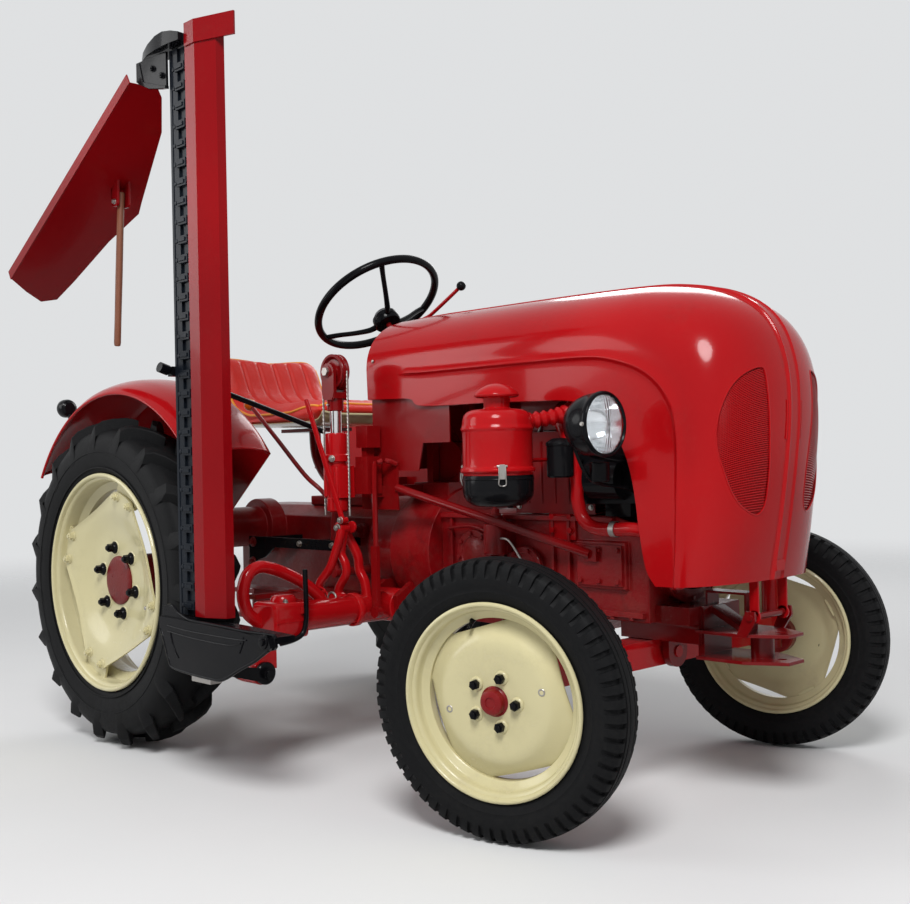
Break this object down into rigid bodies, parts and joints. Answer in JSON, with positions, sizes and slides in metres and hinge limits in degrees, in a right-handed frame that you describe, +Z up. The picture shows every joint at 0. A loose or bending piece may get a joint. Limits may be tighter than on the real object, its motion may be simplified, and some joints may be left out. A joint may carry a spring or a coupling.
{
  "type": "vintage tractor",
  "caption": "Small vintage farm tractor with rounded tilting hood, open seat, steered front wheels, lugged rear tyres and a side mower bar folded upright.",
  "frame": {"origin": "on the ground below the middle of the whole machine's box", "axes": "+X forward, +Y to the tractor's left, +Z up"},
  "size_m": [2.4588, 1.657, 2.01],
  "materials": {
    "scarlet": "gloss enamel",
    "dark_scarlet": "gloss enamel, darker",
    "cream": "gloss enamel",
    "black_paint": "satin enamel",
    "bar_blue": "satin enamel",
    "tyre": "matt rubber",
    "chrome": "polished rod",
    "cast": "plain casting",
    "cushion": "coated cloth with piping",
    "lens": "clear ribbed glass",
    "wood": "turned handle"
  },
  "bodies": {
    "chassis": {"gearbox": "scarlet", "clutch_housing": "scarlet", "final_drives": "scarlet", "engine_block": "scarlet", "cylinder": "cast", "fan_housing": "black_paint", "exhaust_pipe": "scarlet", "air_cleaner": "scarlet", "oil_bowl": "black_paint", "dash_cowl": "dark_scarlet", "steering_column": "scarlet", "hand_levers": "scarlet", "pedals": "scarlet", "footboards": "dark_scarlet", "fenders": "scarlet", "tail_lamps": "black_paint", "seat_post": "dark_scarlet", "seat_pan": "cream", "seat_cushion": "cushion", "front_support": "scarlet", "front_axle": "scarlet", "headlamps": "black_paint", "lamp_lenses": "lens", "lift_frame": "scarlet", "side_bracket": "black_paint", "lift_cylinder": "scarlet", "rear_drawbar": "scarlet"},
    "hood": {"hood": "scarlet", "grilles": "scarlet"},
    "steering_wheel": {"steering_wheel": "black_paint"},
    "knuckle_r": {"knuckle_r": "dark_scarlet"},
    "knuckle_l": {"knuckle_l": "dark_scarlet"},
    "tie_rod": {"tie_rod": "scarlet"},
    "drag_link": {"drag_link": "scarlet"},
    "pitman_arm": {"pitman_arm": "scarlet"},
    "front_wheel_r": {"front_tyre_r": "tyre", "front_rim_r": "cream"},
    "front_wheel_l": {"front_tyre_l": "tyre", "front_rim_l": "cream"},
    "rear_wheel_r": {"rear_tyre_r": "tyre", "rear_rim_r": "cream"},
    "rear_wheel_l": {"rear_tyre_l": "tyre", "rear_rim_l": "cream"},
    "lift_rod": {"lift_rod": "chrome"},
    "sheave": {"sheave": "dark_scarlet"},
    "mower_arm": {"mower_arm": "scarlet"},
    "mower_bar": {"inner_shoe": "black_paint", "cutter_bar": "bar_blue", "bar_guard": "scarlet", "outer_shoe": "black_paint", "swath_board": "scarlet", "swath_stick": "wood", "stay_rod": "black_paint"}
  },
  "joints": [
    {"name": "hood_tilt", "type": "hinge", "parent": "chassis", "child": "hood", "pos_m": [1.14477, 0.0615, 0.47], "axis": [0, 1, 0], "range_deg": [0, 70]},
    {"name": "steer", "type": "hinge", "parent": "chassis", "child": "knuckle_r", "pos_m": [0.81477, -0.485, 0.355], "axis": [0, 0, 1], "range_deg": [-50.2, 21.8]},
    {"name": "steer_left", "type": "hinge", "parent": "chassis", "child": "knuckle_l", "pos_m": [0.81477, 0.608, 0.355], "axis": [0, 0, 1], "range_deg": [-50.2, 21.8]},
    {"name": "tie_rod_turn", "type": "hinge", "parent": "knuckle_r", "child": "tie_rod", "pos_m": [0.68875, -0.51689, 0.32], "axis": [0, 0, 1], "range_deg": [-21.8, 50.2]},
    {"name": "drag_link_turn", "type": "hinge", "parent": "knuckle_l", "child": "drag_link", "pos_m": [0.84666, 0.48197, 0.514], "axis": [0, 0, 1], "range_deg": [-21.8, 50.2]},
    {"name": "pitman_swing", "type": "hinge", "parent": "chassis", "child": "pitman_arm", "pos_m": [0.10337, 0.2835, 0.8575], "axis": [0, -1, 0], "range_deg": [-30.12, 13.08]},
    {"name": "steering_wheel_turn", "type": "hinge", "parent": "chassis", "child": "steering_wheel", "pos_m": [-0.22891, 0.0615, 1.30824], "axis": [-0.5934, 0, 0.8049], "range_deg": [-602.4, 261.6]},
    {"name": "front_wheel_r_spin", "type": "hinge", "parent": "knuckle_r", "child": "front_wheel_r", "pos_m": [0.82949, -0.54317, 0.3203], "axis": [0.2451, -0.9684, -0.0454], "continuous": true},
    {"name": "front_wheel_l_spin", "type": "hinge", "parent": "knuckle_l", "child": "front_wheel_l", "pos_m": [0.80005, 0.66617, 0.3203], "axis": [-0.2451, 0.9684, -0.0454], "continuous": true},
    {"name": "rear_wheel_r_spin", "type": "hinge", "parent": "chassis", "child": "rear_wheel_r", "pos_m": [-0.70823, -0.6055, 0.504], "axis": [0, 1, 0], "continuous": true},
    {"name": "rear_wheel_l_spin", "type": "hinge", "parent": "chassis", "child": "rear_wheel_l", "pos_m": [-0.70823, 0.7285, 0.504], "axis": [0, 1, 0], "continuous": true},
    {"name": "lift_stroke", "type": "slide", "parent": "chassis", "child": "lift_rod", "axis": [0, 0, 1], "range_m": [-0.06, 0]},
    {"name": "sheave_spin", "type": "hinge", "parent": "lift_rod", "child": "sheave", "pos_m": [-0.05823, -0.2905, 1.118], "axis": [0, 1, 0], "continuous": true},
    {"name": "mower_lift", "type": "hinge", "parent": "chassis", "child": "mower_arm", "pos_m": [-0.00823, -0.1285, 0.43], "axis": [1, 0, 0], "range_deg": [0, 8]},
    {"name": "mower_fold", "type": "hinge", "parent": "mower_arm", "child": "mower_bar", "pos_m": [-0.00823, -0.6285, 0.3], "axis": [1, 0, 0], "range_deg": [0, 82]}
  ],
  "couplings": [
    {"joint": "steer_left", "follows": "steer", "ratio": 1},
    {"joint": "tie_rod_turn", "follows": "steer", "ratio": -1},
    {"joint": "drag_link_turn", "follows": "steer", "ratio": -1},
    {"joint": "pitman_swing", "follows": "steer", "ratio": 0.6},
    {"joint": "steering_wheel_turn", "follows": "steer", "ratio": 12}
  ]
}
